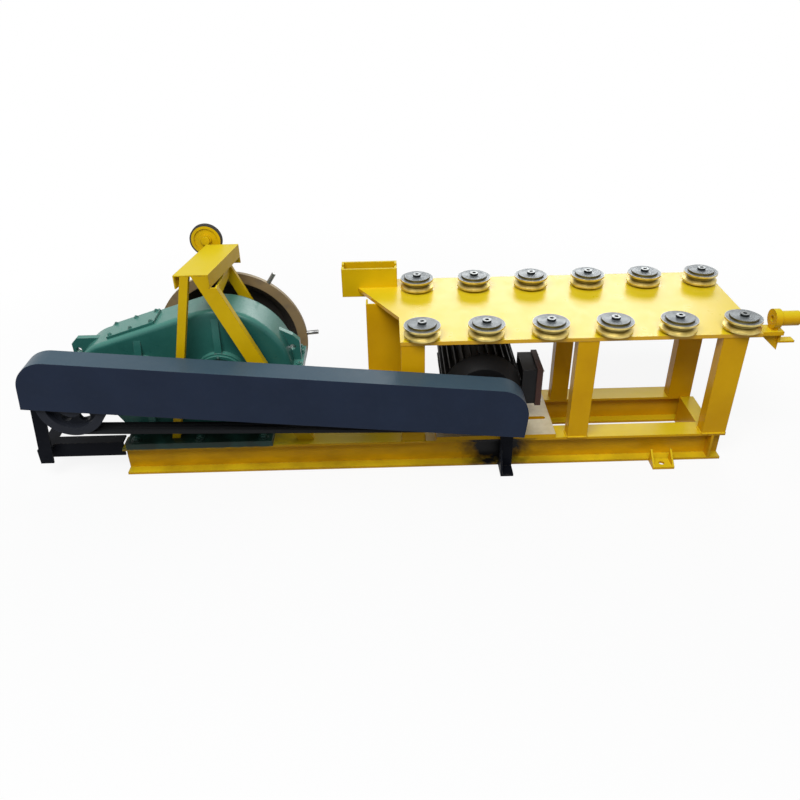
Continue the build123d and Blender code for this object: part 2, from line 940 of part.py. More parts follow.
with BuildPart() as driven_pulley:
    rim_floor = driven_pulley_radius - belt_thickness - groove_clearance - driven_rim
    web_front = (pulley_width - driven_web) / 2
    pulley_bore = input_shaft_radius + shaft_fit
    turned_profile(
        (
            (pulley_bore, 0),
            (driven_hub_radius, 0),
            (driven_hub_radius, web_front),
            (rim_floor, web_front),
            (rim_floor, 0),
            *pulley_rim(driven_pulley_radius),
            (rim_floor, pulley_width),
            (rim_floor, web_front + driven_web),
            (driven_hub_radius, web_front + driven_web),
            (driven_hub_radius, pulley_width),
            (pulley_bore, pulley_width),
        ),
        Plane.XY.move(Location((input_x, pulley_front, shaft_height))),
        Axis((input_x, pulley_front, shaft_height), (0, 1, 0)),
    )
    with BuildSketch(side_plane(pulley_front)):
        with Locations((input_x, shaft_height)):
            with PolarLocations(driven_hole_circle, driven_hole_count):
                Circle(driven_hole_radius)
    extrude(amount=-pulley_width, mode=Mode.SUBTRACT)
save(driven_pulley, "driven_pulley")

with BuildPart() as input_shaft:
    shaft_end = boss_front - running_gap
    disc_y(input_x, pulley_front, shaft_height, input_shaft_radius, shaft_end - pulley_front)
save(input_shaft, "input_shaft")

with BuildPart() as motor_pulley:
    motor_bore = motor_shaft_radius + shaft_fit
    turned_profile(
        ((motor_bore, 0), *pulley_rim(motor_pulley_radius), (motor_bore, pulley_width)),
        Plane.XY.move(Location((motor_x, pulley_front, motor_axis_z))),
        Axis((motor_x, pulley_front, motor_axis_z), (0, 1, 0)),
    )
save(motor_pulley, "motor_pulley")

with BuildPart() as motor_shaft:
    shaft_end = motor_front - running_gap
    disc_y(motor_x, pulley_front, motor_axis_z, motor_shaft_radius, shaft_end - pulley_front)
save(motor_shaft, "motor_shaft")


def belt_loop(front, offset, mode=Mode.ADD):
    """The space inside a loop stretched round both pulleys, one belt wide."""
    with BuildSketch(side_plane(front)) as loop:
        with Locations((input_x, shaft_height)):
            Circle(driven_pulley_radius + offset)
        with Locations((motor_x, motor_axis_z)):
            Circle(motor_pulley_radius + offset)
        make_hull()
    extrude(loop.sketch, amount=-belt_width, mode=mode)


with BuildPart() as v_belts:
    for centre in belt_centres:
        belt_loop(centre - belt_width / 2, belt_proud)
        belt_loop(centre - belt_width / 2, belt_proud - belt_thickness, mode=Mode.SUBTRACT)
save(v_belts, "v_belts")

# Motor base with slots for tensioning the belts
frame_front = motor_front + motor_hub_length + motor_shield_length
frame_back = frame_front + motor_frame_length
foot_rows = (frame_front + motor_foot_length / 2, frame_back - motor_foot_length / 2)
base_top = rail_height + motor_base_thickness

with BuildPart() as motor_base:
    block(
        (motor_base_left, rail_front, rail_height),
        (motor_base_left + motor_base_length, rear_rail_back, base_top),
    )
    with BuildSketch(Plane.XY.offset(rail_height)):
        base_mid = motor_base_left + motor_base_length / 2
        slot_shift = motor_base_length / 2 - motor_slot_length / 2 - motor_slot_width
        with Locations(*[(base_mid + s * slot_shift, row) for row in foot_rows for s in (-1, 1)]):
            SlotOverall(motor_slot_length, motor_slot_width)
    extrude(amount=motor_base_thickness, mode=Mode.SUBTRACT)
save(motor_base, "motor_base")

# Motor
with BuildPart() as motor_frame:
    disc_y(motor_x, frame_front, motor_axis_z, motor_core_radius, motor_frame_length)
    with BuildSketch(side_plane(frame_front)):
        with Locations((motor_x, motor_axis_z)):
            fin_depth = motor_fin_radius - motor_core_radius + motor_fin_thickness
            with PolarLocations(motor_fin_radius - fin_depth / 2, motor_fin_count):
                Rectangle(fin_depth, motor_fin_thickness)
    extrude(amount=-motor_frame_length)
    for row in foot_rows:
        block(
            (motor_x - motor_foot_width / 2 - motor_fin_thickness, row - motor_foot_length / 2, base_top),
            (motor_x + motor_foot_width / 2 + motor_fin_thickness, row + motor_foot_length / 2,
             base_top + motor_foot_thickness),
        )
        block(
            (motor_x - motor_pedestal_width / 2, row - motor_pedestal_length / 2, base_top),
            (motor_x + motor_pedestal_width / 2, row + motor_pedestal_length / 2, motor_axis_z),
        )
save(motor_frame, "motor_frame")

with BuildPart() as motor_end_shields:
    front_face = motor_front + motor_hub_length
    with BuildSketch(side_plane(frame_front)):
        with Locations((motor_x, motor_axis_z)):
            Circle(motor_fin_radius - motor_fin_thickness)
    with BuildSketch(side_plane(front_face)):
        with Locations((motor_x, motor_axis_z)):
            Circle(motor_core_radius - motor_hub_length)
    loft()
    disc_y(motor_x, motor_front, motor_axis_z, motor_hub_radius, motor_hub_length)
    disc_y(motor_x, motor_front, motor_axis_z, motor_bore, motor_hub_length, Mode.SUBTRACT)
    disc_y(motor_x, frame_back, motor_axis_z, motor_fin_radius - motor_fin_thickness, motor_hub_length)
save(motor_end_shields, "motor_end_shields")

with BuildPart() as motor_fan_cowl:
    cowl_front = frame_back + motor_hub_length
    disc_y(motor_x, cowl_front, motor_axis_z, cowl_radius, cowl_length)
    fillet(motor_fan_cowl.edges().sort_by(Axis.Y)[-1], radius=motor_hub_length)
    cowl_inner = cowl_radius - cowl_wall
    disc_y(motor_x, cowl_front, motor_axis_z, cowl_inner, cowl_length - motor_hub_length, Mode.SUBTRACT)
save(motor_fan_cowl, "motor_fan_cowl")

with BuildPart() as motor_terminal_box:
    box_left = motor_x + motor_fin_radius + weld_gap
    box_right = box_left + terminal_box_width
    half_length = terminal_box_length / 2
    half_height = terminal_box_height / 2
    block(
        (box_left, terminal_box_y - half_length, motor_axis_z - half_height),
        (box_right, terminal_box_y + half_length, motor_axis_z + half_height),
    )
    block(
        (box_right - terminal_lid, terminal_box_y - half_length - terminal_lid_margin,
         motor_axis_z - half_height - terminal_lid_margin),
        (box_right, terminal_box_y + half_length + terminal_lid_margin,
         motor_axis_z + half_height + terminal_lid_margin),
    )
save(motor_terminal_box, "motor_terminal_box")


# Belt guard, open below, with slots in its back wall for the two shafts
def guard_body(inset, drop, mode=Mode.ADD):
    """The leaning trough in side view, drawn in by inset and let down by drop."""
    with BuildSketch(side_plane(guard_front + inset)) as outline:
        with BuildLine():
            Polyline(
                (guard_left + inset, guard_left_top - guard_height - drop),
                (guard_left + guard_lean + inset, guard_left_top - inset),
                (guard_right + guard_lean - inset, guard_right_top - inset),
                (guard_right - inset, guard_right_top - guard_height - drop),
                close=True,
            )
        make_face()
        fillet(outline.vertices().sort_by(Axis.Y)[-1], radius=guard_left_radius - inset)
        fillet(outline.vertices().sort_by(Axis.X)[-1], radius=guard_right_radius - inset)
    extrude(outline.sketch, amount=2 * inset - guard_width, mode=mode)


with BuildPart() as belt_guard:
    guard_body(0, 0)
    guard_body(guard_wall, guard_wall, Mode.SUBTRACT)
    for shaft_x, shaft_z, shaft_radius in (
        (input_x, shaft_height, input_shaft_radius),
        (motor_x, motor_axis_z, motor_shaft_radius),
    ):
        slot_radius = shaft_radius + guard_slot_margin
        disc_y(shaft_x, guard_back - guard_wall, shaft_z, slot_radius, guard_wall, Mode.SUBTRACT)
        block(
            (shaft_x - slot_radius, guard_back - guard_wall, shaft_z - guard_height),
            (shaft_x + slot_radius, guard_back, shaft_z),
            mode=Mode.SUBTRACT,
        )
save(belt_guard, "belt_guard")

# Guard stands, welded from angle iron
with BuildPart() as guard_left_stand:
    stand_foot = left_stand_x - left_stand_lean
    stand_back = guard_back + stand_width
    beam_high = left_stand_bottom + left_stand_beam_height
    for plate_width, plate_depth in ((stand_width, stand_wall), (stand_wall, stand_width)):
        lean_leg(
            (stand_foot + plate_width / 2, left_stand_bottom),
            (left_stand_x + plate_width / 2, left_stand_top),
            plate_width, guard_back, plate_depth,
        )
    block((stand_foot, guard_back, left_stand_bottom),
          (stand_foot + stand_wall, guard_back + left_stand_reach, beam_high))
    block((stand_foot, guard_back, beam_high - stand_wall),
          (stand_foot + stand_width, guard_back + left_stand_reach, beam_high))
    block((stand_foot, stand_back - stand_wall, left_stand_bottom), (rail_left, stand_back, beam_high))
    block((stand_foot, stand_back - stand_wall, beam_high - stand_wall),
          (rail_left, stand_back + stand_width - stand_wall, beam_high))
save(guard_left_stand, "guard_left_stand")

with BuildPart() as guard_right_stand:
    stand_right = right_stand_x + stand_width
    block((right_stand_x, guard_back, 0), (stand_right, guard_back + stand_wall, right_stand_top))
    foot_tip = rail_front - right_stand_foot
    block((right_stand_x, foot_tip, 0), (stand_right, rail_front, right_stand_foot_thickness))
    with BuildSketch(across_plane(right_stand_x)):
        with BuildLine():
            Polyline(
                (foot_tip, right_stand_foot_thickness),
                (guard_back, right_stand_foot_thickness),
                (guard_back, rail_height),
                close=True,
            )
        make_face()
    extrude(amount=stand_wall)
save(guard_right_stand, "guard_right_stand")


# Gantry over the reducer
def beam_centre(y):
    """Middle of the skewed beam at depth y."""
    return beam_x + beam_skew * (y - gantry_front)


def skew_bar(width, top):
    """A bar along the skewed beam, from its underside up to top."""
    with BuildSketch(side_plane(gantry_front)) as outline:
        with Locations((beam_x, (beam_bottom + top) / 2)):
            Rectangle(width, top - beam_bottom)
    run = Vector(beam_skew, 1, 0)
    return extrude(outline.sketch, amount=(beam_back - gantry_front) * run.length, dir=run, mode=Mode.PRIVATE)


def brace_centre(z):
    """Middle of both braces at height z."""
    return brace_top_x + (leg_top - z) / (leg_top - rail_height) * (brace_foot_x - brace_top_x)


with BuildPart() as top_beam:
    add(skew_bar(beam_width, beam_top))
    add(skew_bar(beam_inner, leg_top), mode=Mode.SUBTRACT)
save(top_beam, "top_beam")

# Front A frame: two leaning channels that run up inside the beam
with BuildPart() as front_post:
    lean_leg((post_foot_x, foot_top), (post_top_x, leg_top), post_width, gantry_front, front_leg_depth)
    lean_leg(
        (post_foot_x + gantry_wall, foot_top), (post_top_x + gantry_wall, leg_top), post_width,
        gantry_front + gantry_wall, front_leg_depth - 2 * gantry_wall, Mode.SUBTRACT,
    )
save(front_post, "front_post")

with BuildPart() as front_brace:
    brace_foot = (brace_foot_x, rail_height)
    brace_top = (brace_top_x, leg_top)
    lean_leg(brace_foot, brace_top, brace_width, gantry_front, front_leg_depth)
    lean_leg(
        brace_foot, brace_top, brace_width - 2 * gantry_wall,
        gantry_front + gantry_wall, front_leg_depth - gantry_wall, Mode.SUBTRACT,
    )
    cope_right = beam_x + beam_inner / 2
    block(
        (cope_right, gantry_front, beam_bottom),
        (cope_right + brace_width, gantry_front + front_leg_depth, leg_top),
        mode=Mode.SUBTRACT,
    )
save(front_brace, "front_brace")

# Rear A frame: flat legs, the post under the left flange of the beam
with BuildPart() as rear_post:
    rear_post_foot = (rear_post_foot_x, foot_top)
    rear_post_top = (rear_post_top_x, beam_bottom)
    lean_leg(rear_post_foot, rear_post_top, post_width, rear_frame_front, rear_frame_depth)
save(rear_post, "rear_post")

with BuildPart() as rear_brace:
    lean_leg(brace_foot, brace_top, rear_brace_width, rear_frame_front, rear_frame_depth)
save(rear_brace, "rear_brace")

with BuildPart() as beam_stretcher:
    stretcher_top = beam_bottom - stretcher_drop
    stretcher_right = brace_centre(stretcher_top) + rear_brace_width / 2
    stretcher_left = stretcher_right - stretcher_thickness
    block(
        (stretcher_left, gantry_front + front_leg_depth, stretcher_top - stretcher_height),
        (stretcher_right, rear_frame_front, stretcher_top),
    )
save(beam_stretcher, "beam_stretcher")

# Guide wheel on a pin that its bracket carries behind the gantry
upright_front = wheel_back + wheel_side_gap
upright_back = upright_front + bracket_thickness
shelf_top = wheel_z - wheel_radius - wheel_gap

with BuildPart() as wheel_bracket:
    beam_end = beam_centre(beam_back)
    block(
        (beam_end - beam_width / 2, beam_back, shelf_top - bracket_thickness),
        (beam_end + beam_width / 2, beam_back + beam_wall, beam_top),
    )
    block(
        (wheel_x - bracket_width / 2, beam_back, shelf_top - bracket_thickness),
        (wheel_x + bracket_width / 2, upright_back, shelf_top),
    )
    block(
        (wheel_x - bracket_width / 2, upright_front, shelf_top - bracket_thickness),
        (wheel_x + bracket_width / 2, upright_back, wheel_z),
    )
    disc_y(wheel_x, upright_front, wheel_z, bracket_width / 2, bracket_thickness)
    pin_front = wheel_front - wheel_side_gap
    disc_y(wheel_x, pin_front, wheel_z, wheel_pin_radius, upright_front - pin_front)
    disc_y(wheel_x, pin_front - wheel_pin_head, wheel_z, wheel_pin_head_radius, wheel_pin_head)
save(wheel_bracket, "wheel_bracket")

with BuildPart() as guide_wheel:
    wheel_bore = wheel_pin_radius + pin_fit
    web_front = (wheel_width - wheel_web) / 2
    rim_bottom = wheel_radius - wheel_rim - wheel_groove
    turned_profile(
        (
            (wheel_bore, 0),
            (wheel_hub_radius, 0),
            (wheel_hub_radius, web_front),
            (rim_bottom, web_front),
            (rim_bottom, 0),
            (wheel_radius, 0),
            (wheel_radius - wheel_groove, wheel_width / 2),
            (wheel_radius, wheel_width),
            (rim_bottom, wheel_width),
            (rim_bottom, wheel_width - web_front),
            (wheel_hub_radius, wheel_width - web_front),
            (wheel_hub_radius, wheel_width),
            (wheel_bore, wheel_width),
        ),
        Plane.XY.move(Location((wheel_x, wheel_front, wheel_z))),
        Axis((wheel_x, wheel_front, wheel_z), (0, 1, 0)),
    )
save(guide_wheel, "guide_wheel")
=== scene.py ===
"""Looks of the wire drawing machine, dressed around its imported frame. Metres, +Z up."""

import json
from math import asin, cos, pi, radians, sin

import bmesh
import bpy
from mathutils import Matrix, Vector


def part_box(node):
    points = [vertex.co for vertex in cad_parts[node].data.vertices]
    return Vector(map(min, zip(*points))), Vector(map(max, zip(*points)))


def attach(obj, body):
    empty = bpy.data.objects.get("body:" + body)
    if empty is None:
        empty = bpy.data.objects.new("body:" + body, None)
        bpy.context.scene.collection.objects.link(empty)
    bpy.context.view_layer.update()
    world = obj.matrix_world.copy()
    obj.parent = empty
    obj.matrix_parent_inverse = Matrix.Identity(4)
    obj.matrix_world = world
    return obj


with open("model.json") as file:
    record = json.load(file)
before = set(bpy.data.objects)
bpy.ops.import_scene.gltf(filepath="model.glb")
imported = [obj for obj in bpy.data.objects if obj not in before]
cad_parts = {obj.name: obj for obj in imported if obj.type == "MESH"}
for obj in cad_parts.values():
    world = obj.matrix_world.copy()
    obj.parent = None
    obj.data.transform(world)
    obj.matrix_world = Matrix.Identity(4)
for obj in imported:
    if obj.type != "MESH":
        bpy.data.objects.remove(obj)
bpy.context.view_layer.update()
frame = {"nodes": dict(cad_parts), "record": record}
nodes = frame["nodes"]

# Camera at the photograph's viewing angle
image_size = 800
lens_pixels = 757.4
sensor_width = 36.0
camera_place = Vector((-0.1063, -1.9816, 1.4762))
camera_pitch = 0.5601
camera_yaw = 0.0148
camera_roll = -0.0180

# Light and floor
sky_colour = (0.93, 0.97, 1.0, 1.0)
sky_strength = 0.25
softbox_power = 38.0
softbox_size = (2.4, 1.1)
softbox_place = Vector((1.1, 3.4, 2.0))
front_power = 235.0
front_size = (4.5, 2.4)
front_place = Vector((-0.9, -2.95, 4.77))
aim_point = Vector((0.0, 0.1, 0.35))
floor_size = 60.0
floor_drop = 0.0005
floor_lit = (0.20, 0.20, 0.20, 1.0)
floor_seen = (0.95, 0.95, 0.95, 1.0)
floor_roughness = 0.9
floor_glow = 0.88
shadow_reach = (1.2, 2.4)
white = (1.0, 1.0, 1.0, 1.0)

# Sizes shared with the solids
flange_thickness = 0.014
flange_reach = 0.014
boss_reach = 0.017
boss_radii = {"input": 0.040, "intermediate": 0.076, "output": 0.082}
fast_centre_distance = 0.174
foot_thickness = 0.020
foot_span = (-0.934, -0.478)
cap_margin = 0.005
cap_lip = 0.010
hull_radii = (0.117, 0.215)
hull_centres = (0.006, 0.331)
hatch_length = 0.160
hatch_lean = asin((hull_radii[1] - hull_radii[0]) / (hull_centres[1] - hull_centres[0]))
drum_radius = 0.243
drum_recess_radius = 0.212
motor_frame_radius = 0.1285
motor_foot_thickness = 0.016
motor_shield_depth = 0.016
terminal_lid = 0.018
leg_spans = ((-0.072, -0.002), (0.447, 0.509), (0.873, 0.948))

# Fasteners: thread sizes, numbers and places
foot_bolt = 0.011
foot_bolt_columns = 3
foot_bolt_inset = (0.03, 0.022)
flange_bolt = 0.0085
flange_bolt_columns = 15
flange_bolt_inset = 0.02
flange_end_inset = 0.013
flange_end_offset = 0.04
cap_bolt = 0.0042
cap_bolt_count = 6
hatch_bolt = 0.005
hatch_bolt_columns = 3
hatch_bolt_inset = 0.012
motor_foot_bolt = 0.009
motor_foot_offset = 0.098
motor_foot_inset = 0.023
shield_bolt = 0.006
shield_bolt_circle = 0.078
shield_bolt_angles = (45, 135, 225, 315)
lid_screw = 0.004
lid_screw_inset = 0.012
turn_between_bolts = radians(17)

# A bolt's outlines as radius and height, in thread sizes
washer_outline = ((1.55, 0.0), (1.55, 0.175), (1.45, 0.25))
head_outline = ((1.12, 0.0), (1.12, 0.62), (0.94, 0.72))
thread_outline = ((0.56, -0.02), (0.56, 0.30), (0.46, 0.38))
washer_sides = 24
head_sides = 6
thread_sides = 16

# Air inlet of the motor's fan cowl
grille_radii = (0.024, 0.099)
grille_rings = 7
grille_spokes = 8
grille_wire = 0.0024
hoop_sides = 72
wire_sides = 8

# Welds
weld_radius = 0.004
weld_step = 0.006
weld_valley = 0.82
weld_wander = 0.05
weld_wander_step = 2.3
weld_end = 0.55
weld_shortest = 4


def set_camera():
    """The photograph's camera, from its fitted place and angles."""
    forward = Vector((
        sin(camera_yaw) * cos(camera_pitch),
        cos(camera_yaw) * cos(camera_pitch),
        -sin(camera_pitch),
    ))
    level = Vector((cos(camera_yaw), -sin(camera_yaw), 0.0))
    upward = level.cross(forward)
    right = cos(camera_roll) * level + sin(camera_roll) * upward
    up = cos(camera_roll) * upward - sin(camera_roll) * level
    data = bpy.data.cameras.new("camera")
    data.sensor_width = sensor_width
    data.lens = sensor_width * lens_pixels / image_size
    data.clip_end = 2 * floor_size
    camera = bpy.data.objects.new("camera", data)
    turn = Matrix((right, up, -forward)).transposed()
    camera.matrix_world = Matrix.Translation(camera_place) @ turn.to_4x4()
    bpy.context.scene.collection.objects.link(camera)
    bpy.context.scene.camera = camera


def add_softbox(name, place, size, power):
    """A large soft lamp that faces the machine."""
    data = bpy.data.lights.new(name, "AREA")
    data.shape = "RECTANGLE"
    data.size, data.size_y = size
    data.energy = power
    lamp = bpy.data.objects.new(name, data)
    lamp.location = place
    lamp.rotation_euler = (aim_point - place).to_track_quat("-Z", "Y").to_euler()
    bpy.context.scene.collection.objects.link(lamp)


def show_background(tree, lit, white):
    """Camera, glossy and transmitted rays see the white shader, all others the lit one."""
    path = tree.nodes.new("ShaderNodeLightPath")
    seen = tree.nodes.new("ShaderNodeMath")
    seen.operation = "MAXIMUM"
    tree.links.new(path.outputs["Is Camera Ray"], seen.inputs[0])
    through = tree.nodes.new("ShaderNodeMath")
    through.operation = "MAXIMUM"
    tree.links.new(path.outputs["Is Glossy Ray"], through.inputs[0])
    tree.links.new(path.outputs["Is Transmission Ray"], through.inputs[1])
    tree.links.new(through.outputs[0], seen.inputs[1])
    mix = tree.nodes.new("ShaderNodeMixShader")
    tree.links.new(seen.outputs[0], mix.inputs["Fac"])
    tree.links.new(lit, mix.inputs[1])
    tree.links.new(white, mix.inputs[2])
    return mix.outputs[0]


def make_sky():
    """White surroundings that light the machine softly."""
    world = bpy.data.worlds.new("studio")
    world.use_nodes = True
    bpy.context.scene.world = world
    tree = world.node_tree
    sky = tree.nodes["Background"]
    sky.inputs["Color"].default_value = sky_colour
    sky.inputs["Strength"].default_value = sky_strength
    seen = tree.nodes.new("ShaderNodeBackground")
    seen.inputs["Color"].default_value = white
    shown = show_background(tree, sky.outputs[0], seen.outputs[0])
    tree.links.new(shown, tree.nodes["World Output"].inputs["Surface"])


def make_floor():
    """A pale floor that keeps the shadow near the machine and turns white further out."""
    half = floor_size / 2
    corners = [(-half, -half, 0), (half, -half, 0), (half, half, 0), (-half, half, 0)]
    mesh = bpy.data.meshes.new("floor")
    mesh.from_pydata(corners, [], [(0, 1, 2, 3)])
    floor = bpy.data.objects.new("floor", mesh)
    floor.location.z = -floor_drop
    bpy.context.scene.collection.objects.link(floor)
    paint = bpy.data.materials.new("floor")
    paint.use_nodes = True
    tree = paint.node_tree
    matte = tree.nodes["Principled BSDF"]
    matte.inputs["Base Color"].default_value = floor_lit
    matte.inputs["Roughness"].default_value = floor_roughness
    pale = tree.nodes.new("ShaderNodeBsdfDiffuse")
    pale.inputs["Color"].default_value = floor_seen
    glow = tree.nodes.new("ShaderNodeEmission")
    white_floor = tree.nodes.new("ShaderNodeMixShader")
    coordinates = tree.nodes.new("ShaderNodeTexCoord")
    distance = tree.nodes.new("ShaderNodeVectorMath")
    distance.operation = "LENGTH"
    tree.links.new(coordinates.outputs["Object"], distance.inputs[0])
    fade = tree.nodes.new("ShaderNodeMapRange")
    fade.inputs["From Min"].default_value = shadow_reach[0]
    fade.inputs["From Max"].default_value = shadow_reach[1]
    fade.inputs["To Min"].default_value = floor_glow
    tree.links.new(distance.outputs["Value"], fade.inputs["Value"])
    tree.links.new(fade.outputs[0], white_floor.inputs["Fac"])
    tree.links.new(pale.outputs[0], white_floor.inputs[1])
    tree.links.new(glow.outputs[0], white_floor.inputs[2])
    shown = show_background(tree, matte.outputs[0], white_floor.outputs[0])
    tree.links.new(shown, tree.nodes["Material Output"].inputs["Surface"])
    mesh.materials.append(paint)


def set_stage():
    """Surroundings, floor and two soft lamps."""
    make_sky()
    make_floor()
    add_softbox("softbox", softbox_place, softbox_size, softbox_power)
    add_softbox("front_fill", front_place, front_size, front_power)


# Materials
haze_range = (0.35, 0.7)
rough_range = (0.3, 0.7)
edge_range = (0.995, 0.8)
bevel_samples = 4


class Shader:
    """A material's node tree, with short calls for the nodes that are used here."""

    def __init__(self, name, roughness, metallic=0.0, gloss=0.5):
        self.material = bpy.data.materials.new(name)
        self.material.use_nodes = True
        self.tree = self.material.node_tree
        self.surface = self.tree.nodes["Principled BSDF"]
        self.surface.inputs["Roughness"].default_value = roughness
        self.surface.inputs["Metallic"].default_value = metallic
        self.surface.inputs["Specular IOR Level"].default_value = gloss
        coordinates = self.tree.nodes.new("ShaderNodeTexCoord")
        self.place = coordinates.outputs["Object"]
        self.box = coordinates.outputs["Generated"]

    def link(self, source, target):
        self.tree.links.new(source, target)

    def noise(self, per_metre, detail, stretch=(1.0, 1.0, 1.0)):
        """Noise of that many patches per metre, drawn out along the axes by stretch."""
        spread = self.tree.nodes.new("ShaderNodeMapping")
        spread.inputs["Scale"].default_value = stretch
        self.link(self.place, spread.inputs["Vector"])
        node = self.tree.nodes.new("ShaderNodeTexNoise")
        node.inputs["Scale"].default_value = per_metre
        node.inputs["Detail"].default_value = detail
        self.link(spread.outputs[0], node.inputs["Vector"])
        return node.outputs["Fac"]

    def span(self, value, low, high, to_low=0.0, to_high=1.0):
        """Map low..high of a value to to_low..to_high, clamped."""
        node = self.tree.nodes.new("ShaderNodeMapRange")
        self.link(value, node.inputs["Value"])
        sockets = ("From Min", "From Max", "To Min", "To Max")
        for socket, number in zip(sockets, (low, high, to_low, to_high)):
            node.inputs[socket].default_value = number
        return node.outputs["Result"]

    def haze(self, per_metre, detail):
        """Soft patches of noise."""
        return self.span(self.noise(per_metre, detail), *haze_range)

    def math(self, operation, first, second):
        """A sum or product of two values; the second may be a number."""
        node = self.tree.nodes.new("ShaderNodeMath")
        node.operation = operation
        self.link(first, node.inputs[0])
        if isinstance(second, (int, float)):
            node.inputs[1].default_value = second
        else:
            self.link(second, node.inputs[1])
        return node.outputs[0]

    def mix(self, share, first, second):
        """Blend two colours; each is a socket or three numbers."""
        node = self.tree.nodes.new("ShaderNodeMix")
        node.data_type = "RGBA"
        self.link(share, node.inputs["Factor"])
        for socket, colour in ((node.inputs[6], first), (node.inputs[7], second)):
            if isinstance(colour, tuple):
                socket.default_value = (*colour, 1.0)
            else:
                self.link(colour, socket)
        return node.outputs[2]

    def axis(self, source, name):
        """One coordinate, X, Y or Z, of a position."""
        node = self.tree.nodes.new("ShaderNodeSeparateXYZ")
        self.link(source, node.inputs[0])
        return node.outputs[name]

    def near(self, point, reach):
        """One at a point of the machine, falling to zero at reach."""
        node = self.tree.nodes.new("ShaderNodeVectorMath")
        node.operation = "DISTANCE"
        self.link(self.place, node.inputs[0])
        node.inputs[1].default_value = point
        return self.span(node.outputs["Value"], 0.0, reach, 1.0, 0.0)

    def radius(self, first, second):
        """Distance from the middle of the piece's own box across two axes, one half at the box's edge."""
        squares = []
        for name in (first, second):
            offset = self.math("ADD", self.axis(self.box, name), -0.5)
            squares.append(self.math("MULTIPLY", offset, offset))
        return self.math("POWER", self.math("ADD", *squares), 0.5)

    def near_value(self, value, middle, reach):
        """One where a value is at its middle, falling to zero at reach on both sides."""
        offset = self.math("ADD", value, -middle)
        return self.span(self.math("MULTIPLY", offset, offset), reach**2, 0.0)

    def edges(self, width):
        """One along the sharp edges, zero on the flat faces."""
        rounded = self.tree.nodes.new("ShaderNodeBevel")
        rounded.samples = bevel_samples
        rounded.inputs["Radius"].default_value = width
        true = self.tree.nodes.new("ShaderNodeNewGeometry")
        match = self.tree.nodes.new("ShaderNodeVectorMath")
        match.operation = "DOT_PRODUCT"
        self.link(rounded.outputs[0], match.inputs[0])
        self.link(true.outputs["Normal"], match.inputs[1])
        return self.span(match.outputs["Value"], *edge_range)

    def upward(self, low=0.3, high=0.95):
        """One on faces that look up, zero on those whose rise is under low."""
        true = self.tree.nodes.new("ShaderNodeNewGeometry")
        return self.span(self.axis(true.outputs["Normal"], "Z"), low, high)

    def colour(self, source):
        """Set the surface's colour and keep it for coats on top."""
        self.paint = source
        self.link(source, self.surface.inputs["Base Color"])

    def rough(self, per_metre, detail, low, high):
        """Roughness that wanders between two values."""
        wander = self.span(self.noise(per_metre, detail), *rough_range, low, high)
        self.link(wander, self.surface.inputs["Roughness"])

    def relief(self, height, depth, round_edges=0.0015):
        """Bump from a height, over edges that are rounded a little."""
        bump = self.tree.nodes.new("ShaderNodeBump")
        bump.inputs["Strength"].default_value = 1.0
        bump.inputs["Distance"].default_value = depth
        self.link(height, bump.inputs["Height"])
        rounded = self.tree.nodes.new("ShaderNodeBevel")
        rounded.samples = bevel_samples
        rounded.inputs["Radius"].default_value = round_edges
        self.link(rounded.outputs[0], bump.inputs["Normal"])
        self.link(bump.outputs[0], self.surface.inputs["Normal"])


# Brushed-on enamel
painted_top_light_share = 0.85
dust_share = 0.10
dust_range = (0.5, 0.8)
dust_gain = 1.2
dust_lift = 0.02
chip_width = 0.003
chip_range = (0.52, 0.6)
rough_wander = (-0.03, 0.05)
peel_depth = 0.00012


def enamel(name, colour, thin, chip, roughness=0.34, gloss=0.14, painted_top_light=None):
    """Brushed-on enamel: thinner patches, dust, chips along the edges and a faint orange peel. The
    faces that look up may take a lighter colour of their own, which is painted light from above."""
    shader = Shader(name, roughness, gloss=gloss)
    paint = shader.mix(shader.haze(7.0, detail=5.0), colour, thin)
    if painted_top_light:
        # Faces that look up take the lighter colour: painted light from above.
        paint = shader.mix(shader.math("MULTIPLY", shader.upward(), painted_top_light_share), paint, painted_top_light)
    specks = shader.span(shader.noise(55.0, detail=8.0), *dust_range)
    dusty = tuple(dust_gain * channel + dust_lift for channel in colour)
    paint = shader.mix(shader.math("MULTIPLY", specks, dust_share), paint, dusty)
    flakes = shader.span(shader.noise(120.0, detail=3.0), *chip_range)
    paint = shader.mix(shader.math("MULTIPLY", shader.edges(chip_width), flakes), paint, chip)
    shader.colour(paint)
    shader.rough(30.0, 6.0, roughness + rough_wander[0], roughness + rough_wander[1])
    shader.relief(shader.noise(260.0, detail=2.0), peel_depth)
    return shader


# Colours of the paints
yellow = (0.80, 0.44, 0.003)
yellow_thin = (0.70, 0.36, 0.003)
# Painted light: the yellow of faces that look up.
yellow_painted_top_light = (0.84, 0.66, 0.016)
yellow_chip = (0.34, 0.20, 0.03)
# Painted sheen: the table's top.
table_painted_sheen = (0.94, 0.74, 0.016)
lemon = (0.76, 0.50, 0.003)
lemon_thin = (0.68, 0.43, 0.003)
navy = (0.014, 0.023, 0.048)
navy_thin = (0.017, 0.028, 0.058)
# Painted light: the guard's faces that look up, standing in for their reflection of the sky.
navy_painted_top_light = (0.066, 0.116, 0.156)
navy_chip = (0.05, 0.06, 0.08)
green = (0.032, 0.155, 0.130)
green_thin = (0.020, 0.115, 0.098)
